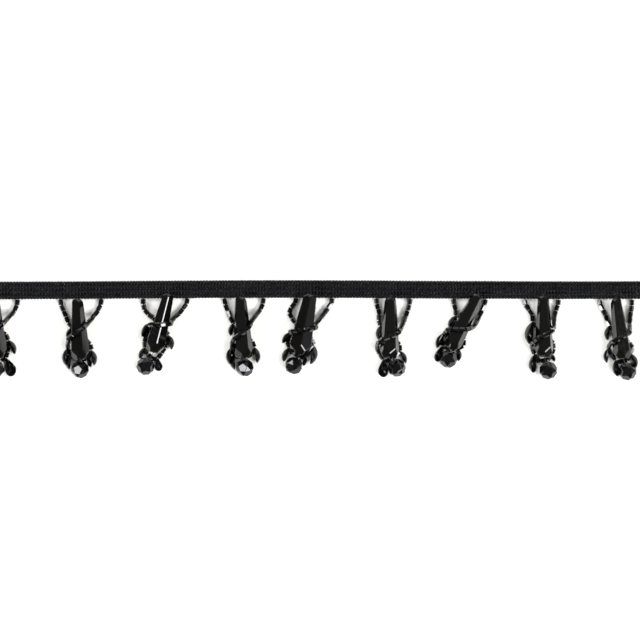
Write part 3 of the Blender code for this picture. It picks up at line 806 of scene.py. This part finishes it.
class FRINGE_OT_round_beads(bpy.types.Operator):
    """Adds the nine round faceted beads below the drops"""

    bl_idname = "fringe.round_beads"
    bl_label = "Add Round Beads"

    def execute(self, context):
        settings = context.scene.fringe_round_beads
        material = moulded_acrylic(
            "moulded_acrylic_round_beads", settings.colour,
            streak_width=0.8 * MM, streak_length=1.2 * MM, strength=0.2,
        )
        for number, dangle in enumerate(DANGLES, 1):
            mesh = round_mesh(number, settings.edge)
            mesh.transform(round_matrix(dangle, mesh))
            finished_piece(f"round_bead_{number}", mesh, material, [f"round_{number}"])
        return {"FINISHED"}


def strand_start(x):
    """The strand's root inside the rebate, and where it is free of the braid's edge."""
    edge = braid_low_edge(x)
    return [
        Vector((x, edge + STRAND_ROOT_INSIDE, STRAND_ROOT_HALF)),
        Vector((x, edge - GAP, STRAND_ROOT_HALF)),
        Vector((x, edge - STRAND_ROOT_OUT, STRAND_HALF)),
    ]


def above_ball(dangle, above, across):
    """A point over the surface, given by the round bead: so far towards the drop, so far to its right."""
    along = ball_axis(dangle)
    right = Vector((-along.y, along.x, 0))
    point = ball_centre(dangle) - along * above + right * across
    return Vector((point.x, point.y, STRAND_END_HEIGHT))


def lead_to(start, end, bow):
    """A point on the way from the braid to the drop, where the strand may bend sideways."""
    lead = start.lerp(end, LEAD_SHARE)
    return Vector((lead.x + bow * MM, lead.y, STRAND_HALF + LEAD_LIFT))


def wrap_turns(dangle):
    """Where the strand passes the drop's edges and the middles of its sides, from its right side."""
    step = 180 // DROP_SIDES
    turns = [90 + dangle.roll + step * number for number in range(-DROP_SIDES, DROP_SIDES)]
    return [turn for turn in turns if OVER_FIRST_TURN <= turn <= OVER_LAST_TURN]


def over_points(dangle, clearance):
    """The right strand: up the drop's right side, over it, and down its left side to the surface."""
    points = strand_start(dangle.root_right * MM)
    over_in = dangle.over_in * MM
    over_out = dangle.over_out * MM
    wrap = []
    for turn in wrap_turns(dangle):
        along = over_in + min(turn / 180, 1.0) * (over_out - over_in)
        wrap.append(round_drop(dangle, along, turn, clearance))
    points.append(lead_to(points[-1], wrap[0], dangle.bow_right))
    points += wrap
    low = max(over_out + OVER_DOWN_AFTER, OVER_DOWN_LEAST)
    across = drop_radius(dangle, low) + OVER_DOWN_CLEAR
    points.append(by_drop(dangle, low, -across, STRAND_HALF + OVER_DOWN_LIFT))
    points.append(above_ball(dangle, STRAND_END_ABOVE, -STRAND_END_APART))
    return points


def under_points(dangle):
    """The left strand: along the surface, under the drop and out again at its lower right."""
    points = strand_start(dangle.root_left * MM)
    under_in = dangle.under_in * MM
    under_out = dangle.under_out * MM
    across_in = drop_radius(dangle, under_in) + UNDER_IN_CLEAR
    across_out = drop_radius(dangle, under_out) + UNDER_OUT_CLEAR
    low = max(under_out + UNDER_LOW_AFTER, UNDER_LOW_LEAST)
    side = by_drop(dangle, under_in, -across_in, STRAND_HALF)
    points.append(lead_to(points[-1], side, dangle.bow_left))
    points.append(side)
    points.append(by_drop(dangle, (under_in + under_out) / 2, 0, STRAND_HALF))
    points.append(by_drop(dangle, under_out, across_out, STRAND_HALF))
    across_low = drop_radius(dangle, low) + UNDER_LOW_CLEAR
    points.append(by_drop(dangle, low, across_low, STRAND_HALF))
    points.append(above_ball(dangle, STRAND_END_ABOVE, STRAND_END_APART))
    points.append(above_ball(dangle, STRAND_CROSS_ABOVE, STRAND_CROSS_APART))
    return points


def smooth_route(points, step):
    """Evenly spaced points on a smooth curve through the given ones."""
    padded = [2 * points[0] - points[1], *points, 2 * points[-1] - points[-2]]
    fine = []
    for before, start, end, after in zip(padded, padded[1:], padded[2:], padded[3:]):
        for number in range(STRAND_SMOOTHING):
            t = number / STRAND_SMOOTHING
            a = 2 * start
            b = (end - before) * t
            c = (2 * before - 5 * start + 4 * end - after) * t * t
            d = (3 * start - before - 3 * end + after) * t * t * t
            fine.append((a + b + c + d) / 2)
    fine.append(points[-1].copy())
    lengths = [0.0]
    for start, end in zip(fine, fine[1:]):
        lengths.append(lengths[-1] + (end - start).length)
    count = max(2, round(lengths[-1] / step))
    route = []
    place = 0
    for number in range(count + 1):
        wanted = lengths[-1] * number / count
        while place < len(lengths) - 2 and lengths[place + 1] < wanted:
            place += 1
        share = (wanted - lengths[place]) / max(lengths[place + 1] - lengths[place], 1e-9)
        route.append(fine[place].lerp(fine[place + 1], min(share, 1.0)))
    return route


def route_point(route, near):
    """The point at a part of the route's length."""
    place = near * (len(route) - 1)
    start = min(int(place), len(route) - 2)
    return route[start].lerp(route[start + 1], place - start)


def solid_route(points):
    """The route as the strand's solid follows it, which the petals are placed on."""
    route = points[:1] + smooth_route(points[1:], STRAND_STEP)
    for point in route[2:]:
        point.z = max(point.z, STRAND_HALF)
    return route


def bead_route(points, bead_width):
    """The route that beads are threaded on, no lower than a bead that rests on the surface."""
    at_braid = points[1] + Vector((0, GAP, 0))
    route = smooth_route([at_braid, *points[2:]], BEAD_STEP)
    for point in route:
        point.z = max(point.z, bead_width / 2 + BEAD_LIFT)
    return route


def strand_routes(dangle, bead_width):
    """For each strand, its solid's route and its beads' route."""
    solid = over_points(dangle, STRAND_CLEARANCE)
    beads = over_points(dangle, BEAD_CLEARANCE)
    under = under_points(dangle)
    return {
        "over": (solid_route(solid), bead_route(beads, bead_width)),
        "under": (solid_route(under), bead_route(under, bead_width)),
    }


def nearest(route, point):
    """The number of the route's point that lies nearest."""
    return min(range(len(route)), key=lambda number: (route[number] - point).length)


def bead_runs(dangle_number, strand, solid, fine):
    """The stretches of a strand between its petals, as distances along it."""
    step = (fine[1] - fine[0]).length
    stops = [0.0]
    petals = [row for row in PETALS if row.dangle == dangle_number and row.strand == strand]
    for petal in sorted(petals, key=lambda row: row.near):
        at = nearest(fine, route_point(solid, petal.near)) * step
        stops += [at - PETAL_ROOM / 2, at + PETAL_ROOM / 2]
    stops.append((len(fine) - 1) * step)
    return list(zip(stops[::2], stops[1::2]))


def bead_mesh(bead_width, bead_hole):
    """A six-sided cut bead of unit length along Z, with a hole through it."""
    bm = bmesh.new()
    bmesh.ops.create_cone(
        bm, cap_ends=True, segments=BEAD_SIDES, depth=1.0,
        radius1=bead_width / 2, radius2=bead_width / 2,
    )
    ends = [face for face in bm.faces if abs(face.normal.z) > END_FACING]
    flat = bead_width / 2 * math.cos(math.pi / BEAD_SIDES)
    bmesh.ops.inset_region(bm, faces=ends, thickness=flat - bead_hole / 2, use_even_offset=True)
    bmesh.ops.delete(bm, geom=ends, context="FACES_ONLY")
    rims = [edge for edge in bm.edges if edge.is_boundary]
    bmesh.ops.bridge_loops(bm, edges=rims)
    return bm


class BeadString:
    """Copies a bead along routes into one mesh."""

    def __init__(self, settings, seed):
        self.pitch = settings.bead_pitch
        pattern = bead_mesh(settings.bead_width, settings.bead_hole)
        self.pattern = mesh_from(pattern, "cut_bead_pattern")
        self.draw = random.Random(seed)
        self.bm = bmesh.new()

    def thread_on(self, fine, start, end):
        """Fills a stretch of a route with beads."""
        step = (fine[1] - fine[0]).length
        count = max(1, round((end - start) / self.pitch))
        spacing = (end - start) / count
        for number in range(count):
            low = start + number * spacing
            ends = (min(at / step / (len(fine) - 1), 1.0) for at in (low, low + spacing))
            self.add(*(route_point(fine, near) for near in ends))

    def add(self, first, last):
        along = last - first
        length = along.length * self.draw.uniform(*BEAD_LENGTHS) - BEAD_APART
        size = self.draw.uniform(*BEAD_SIZES)
        turned = along.to_track_quat("Z", "Y").to_matrix().to_4x4()
        roll = Matrix.Rotation(self.draw.uniform(0, math.pi), 4, "Z")
        askew = Matrix.Rotation(math.radians(self.draw.uniform(-BEAD_ASKEW, BEAD_ASKEW)), 4, "X")
        scale = Matrix.Diagonal((size, size, length, 1.0))
        before = len(self.bm.verts)
        self.bm.from_mesh(self.pattern)
        self.bm.verts.ensure_lookup_table()
        matrix = Matrix.Translation((first + last) / 2) @ turned @ roll @ askew @ scale
        bmesh.ops.transform(self.bm, matrix=matrix, verts=self.bm.verts[before:])

    def finish(self, name):
        bpy.data.meshes.remove(self.pattern)
        wear_edges(self.bm, BEAD_RIM, BEAD_RIM_TURN, "OFFSET")
        return mesh_from(self.bm, name)


def jet_glass(colour):
    """Opaque black pressed glass, cut on six sides: hard bright flashes and slightly wavy facets."""
    made, tree, place = new_material("jet_glass")
    waves, gloss = patchy(tree, place, size=0.7 * MM, detail=2.0, low=0.03, high=0.1)
    looks = {"Base Color": (*colour, 1.0), "Roughness": gloss, "IOR": 1.52}
    finish_surface(tree, looks, waves, strength=0.4, depth=0.03 * MM)
    return made


class FRINGE_OT_cut_beads(bpy.types.Operator):
    """Adds the strands of cut beads that wrap each drop"""

    bl_idname = "fringe.cut_beads"
    bl_label = "Add Cut Beads"

    def execute(self, context):
        settings = context.scene.fringe_strands
        material = jet_glass(settings.bead_colour)
        for number, dangle in enumerate(DANGLES, 1):
            string = BeadString(settings, seed=number)
            for strand, (solid, fine) in strand_routes(dangle, settings.bead_width).items():
                for start, end in bead_runs(number, strand, solid, fine):
                    string.thread_on(fine, start, end)
            name = f"cut_beads_{number}"
            finished_piece(name, string.finish(name), material, [f"strands_{number}"])
        return {"FINISHED"}


def petal_mesh(shares, steps):
    """A cupped petal along +X from its neck, hollow towards +Z, as an open surface of unit length."""
    half = 0.5
    cup_radius = (half * half + PETAL_DEPTH * PETAL_DEPTH) / (2 * PETAL_DEPTH)
    cup_angle = math.asin(half / cup_radius)
    bm = bmesh.new()
    profile = []
    for share in shares:
        angle = cup_angle * share
        out = cup_radius * math.sin(angle)
        height = cup_radius * (math.cos(cup_angle) - math.cos(angle))
        profile.append(bm.verts.new((out, 0, height)))
    edges = [bm.edges.new(pair) for pair in zip(profile, profile[1:])]
    bmesh.ops.spin(
        bm, geom=profile + edges, cent=(0, 0, 0), axis=(0, 0, 1),
        angle=2 * math.pi, steps=steps, use_merge=True,
    )
    bmesh.ops.remove_doubles(bm, verts=bm.verts, dist=TOUCHING)
    for vert in bm.verts:
        share = vert.co.x + half
        vert.co.y *= PETAL_WIDTH * min(1.0, PETAL_NECK + (PETAL_SPREAD - PETAL_NECK) * share)
        vert.co.x += half
    return smooth_mesh_from(bm, "petal")


def petal_turn(point, heading, pitch, roll, hollow_side):
    """The petal's place: its neck on the strand, its free end along the heading."""
    ahead = Vector((math.cos(heading), math.sin(heading), 0))
    up = Vector((0, 0, 1))
    side = hollow_side - ahead * hollow_side.dot(ahead)
    side.normalize()
    ahead = ahead * math.cos(pitch) + up * math.sin(pitch)
    lifted = up - ahead * up.dot(ahead)
    lifted.normalize()
    hollow = lifted * math.cos(roll) + side * math.sin(roll)
    across = hollow.cross(ahead)
    return Matrix.Translation(point) @ Matrix((ahead, across, hollow)).transposed().to_4x4()


def petal_matrix(petal, dangle, route, mesh):
    """Lets the petal's free end down until it meets the surface."""
    point = route_point(route, petal.near)
    right = right_of_drop(dangle)
    on_right = (point - by_drop(dangle, 0, 0, 0)).dot(right) > 0
    inward = -right if on_right else right
    heading = math.radians(petal.heading)
    roll = math.radians(petal.roll)
    size = Matrix.Scale(petal.length * MM, 4)
    for pitch in PETAL_PITCHES:
        matrix = petal_turn(point, heading, math.radians(pitch), roll, inward) @ size
        if lowest(mesh, matrix) >= PETAL_LIFT + PETAL_SOLID_THICKNESS / 2:
            break
    return matrix


def petals_mesh(number, dangle, bead_width, thickness):
    """All petals of one dangle, each where its solid is, or a little higher to clear the surface."""
    coarse = petal_mesh(PETAL_SOLID_RINGS, PETAL_SOLID_STEPS)
    fine = petal_mesh([ring / PETAL_RINGS for ring in range(PETAL_RINGS + 1)], PETAL_STEPS)
    routes = strand_routes(dangle, bead_width)
    bm = bmesh.new()
    for petal in (row for row in PETALS if row.dangle == number):
        before = len(bm.verts)
        bm.from_mesh(fine)
        bm.verts.ensure_lookup_table()
        matrix = petal_matrix(petal, dangle, routes[petal.strand][0], coarse)
        rise = max(0.0, PETAL_LIFT + thickness / 2 - lowest(fine, matrix))
        matrix = Matrix.Translation((0, 0, rise)) @ matrix
        bmesh.ops.transform(bm, matrix=matrix, verts=bm.verts[before:])
    bpy.data.meshes.remove(coarse)
    bpy.data.meshes.remove(fine)
    return mesh_from(bm, f"petals_{number}")


def lacquered_petal(colour):
    """Thin moulded petals with a glossy lacquer: soft gradients on the faces and a bright rim."""
    made, tree, place = new_material("lacquered_acrylic_petals")
    ripple, gloss = patchy(tree, place, size=1.4 * MM, detail=2.0, low=0.1, high=0.2)
    # Lacquer has an IOR of about 1.5. It was lowered to the photograph's dark petals.
    looks = {"Base Color": (*colour, 1.0), "Roughness": gloss, "IOR": 1.36}
    finish_surface(tree, looks, ripple, strength=0.25, depth=0.03 * MM)
    return made


class FRINGE_OT_petals(bpy.types.Operator):
    """Adds the cupped petals that hang between the cut beads"""

    bl_idname = "fringe.petals"
    bl_label = "Add Petals"

    def execute(self, context):
        settings = context.scene.fringe_petals
        bead_width = context.scene.fringe_strands.bead_width
        material = lacquered_petal(settings.colour)
        for number, dangle in enumerate(DANGLES, 1):
            mesh = petals_mesh(number, dangle, bead_width, settings.thickness)
            piece = finished_piece(f"petals_{number}", mesh, material)
            wall = piece.modifiers.new("wall", "SOLIDIFY")
            wall.thickness = settings.thickness
            wall.offset = 0.0
            rim = piece.modifiers.new("rim", "BEVEL")
            rim.width = settings.thickness * PETAL_RIM_SHARE
            rim.segments = PETAL_RIM_STEPS
            rim.limit_method = "ANGLE"
            rim.angle_limit = math.radians(PETAL_RIM_TURN)
        return {"FINISHED"}


def thread_curve(name, width, runs):
    """Thread along runs of points, as one round-sectioned mesh."""
    curve = bpy.data.curves.new(name, "CURVE")
    curve.dimensions = "3D"
    curve.bevel_depth = width / 2
    curve.bevel_resolution = 1
    curve.use_fill_caps = True
    for run in runs:
        spline = curve.splines.new("POLY")
        spline.points.add(len(run) - 1)
        for place, point in zip(spline.points, run):
            place.co = (*point, 1.0)
    tube = add_object(name, curve)
    graph = bpy.context.evaluated_depsgraph_get()
    mesh = bpy.data.meshes.new_from_object(tube.evaluated_get(graph))
    bpy.data.objects.remove(tube)
    bpy.data.curves.remove(curve)
    bm = bmesh.new()
    bm.from_mesh(mesh)
    bpy.data.meshes.remove(mesh)
    bmesh.ops.remove_doubles(bm, verts=bm.verts, dist=TOUCHING)
    return smooth_mesh_from(bm, name)


def thread_runs(dangle, settings):
    """Each strand's thread, and the one from the braid through the drop to the round bead."""
    runs = []
    half = settings.thread_width / 2
    ball = ball_centre(dangle)
    turn = round_turn(dangle)
    hole = ball - turn @ Vector((0, 0, ROUND_FIVE_REACH - HOLE_DEPTH))
    mouth = ball - turn @ Vector((0, 0, ROUND_FIVE_REACH))
    for solid, fine in strand_routes(dangle, settings.bead_width).values():
        root = Vector((solid[0].x, solid[0].y, half))
        step_in = Vector((solid[0].x, solid[0].y - STRAND_ROOT_INSIDE, half))
        beads = fine[THREAD_STRIDE::THREAD_STRIDE]
        runs.append([root, step_in, *beads, fine[-1].lerp(mouth, 0.5), mouth, hole])
    reaches = (HOLE_DEPTH, 0, DROP_LENGTH - HOLE_DEPTH, DROP_LENGTH)
    tip_in, tip, base_in, base = (drop_matrix(dangle) @ Vector((0, 0, along)) for along in reaches)
    over_edge = Vector((tip.x, tip.y + THREAD_OVER, tip.z - THREAD_DOWN))
    into_braid = Vector((tip.x, tip.y + THREAD_INTO, RIB_FACE - THREAD_DOWN))
    runs.append([tip_in, tip, over_edge, into_braid])
    runs.append([base_in, base, mouth, hole])
    return runs


def beading_thread(colour):
    """Waxed polyester thread, twisted: a dull black with a faint spiral."""
    made, tree, place = new_material("waxed_polyester_thread")
    inputs = {"Vector": place, "Scale": 1 / (2.4 * MM), "Distortion": 1.0}
    twist = add_node(tree, "ShaderNodeTexWave", inputs, bands_direction="DIAGONAL")
    looks = {"Base Color": (*colour, 1.0), "Roughness": 0.6, "IOR": 1.5}
    finish_surface(tree, looks, twist.outputs["Fac"], strength=0.5, depth=0.04 * MM)
    return made


class FRINGE_OT_thread(bpy.types.Operator):
    """Adds the beading thread that joins each dangle to the braid"""

    bl_idname = "fringe.thread"
    bl_label = "Add Thread"

    def execute(self, context):
        settings = context.scene.fringe_strands
        material = beading_thread(settings.thread_colour)
        for number, dangle in enumerate(DANGLES, 1):
            name = f"thread_{number}"
            mesh = thread_curve(name, settings.thread_width, thread_runs(dangle, settings))
            finished_piece(name, mesh, material)
        return {"FINISHED"}


def pale_paper(colour):
    """Matt white background paper: a pale, even ground with the faintest grain and hardly any gloss."""
    made, tree, place = new_material("matt_white_paper")
    inputs = {"Vector": place, "Scale": 1 / (1.0 * MM), "Detail": 3.0}
    grain = add_node(tree, "ShaderNodeTexNoise", inputs)
    looks = {"Base Color": (*colour, 1.0), "Roughness": 0.9, "Specular IOR Level": 0.2}
    finish_surface(tree, looks, grain.outputs["Fac"], strength=0.05, depth=0.02 * MM)
    return made


def add_floor(colour):
    bm = bmesh.new()
    bmesh.ops.create_grid(bm, x_segments=1, y_segments=1, size=FLOOR_HALF)
    floor = add_object("floor", mesh_from(bm, "floor"))
    floor.location.z = -FLOOR_BELOW
    floor.data.materials.append(pale_paper(colour))


def add_camera():
    data = bpy.data.cameras.new("camera")
    data.lens = CAMERA_LENS
    data.sensor_width = SENSOR_WIDTH
    data.clip_end = CAMERA_REACH
    camera = add_object("camera", data)
    distance = VIEW_WIDTH * CAMERA_LENS / SENSOR_WIDTH
    camera.location = VIEW_CENTRE + Vector((0, 0, distance))
    bpy.context.scene.camera = camera


def add_room_light(strength):
    """A dim room with bright places in it, each a direction's glow that fades outwards."""
    world = bpy.data.worlds.new("studio")
    bpy.context.scene.world = world
    world.use_nodes = True
    tree = world.node_tree
    tree.nodes.clear()
    where = add_node(tree, "ShaderNodeTexCoord", {}).outputs["Generated"]
    total = 0.0
    for glow in GLOWS:
        azimuth = math.radians(glow.azimuth)
        rise = math.radians(glow.rise)
        level = math.cos(rise)
        towards = (level * math.cos(azimuth), level * math.sin(azimuth), math.sin(rise))
        facing = add_node(tree, "ShaderNodeVectorMath", {0: where, 1: towards}, operation="DOT_PRODUCT")
        inputs = {
            "Value": facing.outputs["Value"],
            "From Min": math.cos(math.radians(glow.outer)),
            "From Max": math.cos(math.radians(glow.inner)),
            "To Min": 0.0,
            "To Max": glow.light * strength,
        }
        fade = add_node(tree, "ShaderNodeMapRange", inputs, interpolation_type="SMOOTHSTEP")
        inputs = {0: total, 1: fade.outputs["Result"]}
        total = add_node(tree, "ShaderNodeMath", inputs, operation="ADD").outputs["Value"]
    inputs = {"Color": (*linear("f4f6fa"), 1.0), "Strength": total}
    background = add_node(tree, "ShaderNodeBackground", inputs)
    add_node(tree, "ShaderNodeOutputWorld", {"Surface": background.outputs["Background"]})


class FRINGE_OT_stage(bpy.types.Operator):
    """Adds the pale floor, the light of the room and the camera"""

    bl_idname = "fringe.stage"
    bl_label = "Add Floor, Light and Camera"

    def execute(self, context):
        settings = context.scene.fringe_stage
        context.scene.view_settings.view_transform = "Standard"
        add_floor(settings.floor_colour)
        add_room_light(settings.room_light)
        add_camera()
        return {"FINISHED"}


class VIEW3D_PT_beaded_fringe(bpy.types.Panel):
    """Lists the pieces of the fringe with their sizes and colours"""

    bl_label = "Beaded Fringe"
    bl_idname = "VIEW3D_PT_beaded_fringe"
    bl_space_type = "VIEW_3D"
    bl_region_type = "UI"
    bl_category = "Beaded Fringe"

    def draw(self, context):
        for operator, group in STEPS:
            box = self.layout.box()
            settings = getattr(context.scene, group)
            for name in settings.__annotations__:
                box.prop(settings, name)
            box.operator(operator.bl_idname)


SETTINGS = {
    "fringe_braid": BraidSettings,
    "fringe_drops": DropSettings,
    "fringe_round_beads": RoundBeadSettings,
    "fringe_strands": StrandSettings,
    "fringe_petals": PetalSettings,
    "fringe_stage": StageSettings,
}
STEPS = (
    (FRINGE_OT_braid, "fringe_braid"),
    (FRINGE_OT_drops, "fringe_drops"),
    (FRINGE_OT_round_beads, "fringe_round_beads"),
    (FRINGE_OT_cut_beads, "fringe_strands"),
    (FRINGE_OT_petals, "fringe_petals"),
    (FRINGE_OT_thread, "fringe_strands"),
    (FRINGE_OT_stage, "fringe_stage"),
)
CLASSES = (*SETTINGS.values(), *(operator for operator, _ in STEPS), VIEW3D_PT_beaded_fringe)


def register():
    for cls in CLASSES:
        bpy.utils.register_class(cls)
    for name, group in SETTINGS.items():
        setattr(bpy.types.Scene, name, bpy.props.PointerProperty(type=group))


def unregister():
    for name in SETTINGS:
        delattr(bpy.types.Scene, name)
    for cls in reversed(CLASSES):
        bpy.utils.unregister_class(cls)


def main():
    register()
    bpy.ops.fringe.braid()
    bpy.ops.fringe.drops()
    bpy.ops.fringe.round_beads()
    bpy.ops.fringe.cut_beads()
    bpy.ops.fringe.petals()
    bpy.ops.fringe.thread()
    bpy.ops.fringe.stage()


if __name__ == "__main__":
    main()
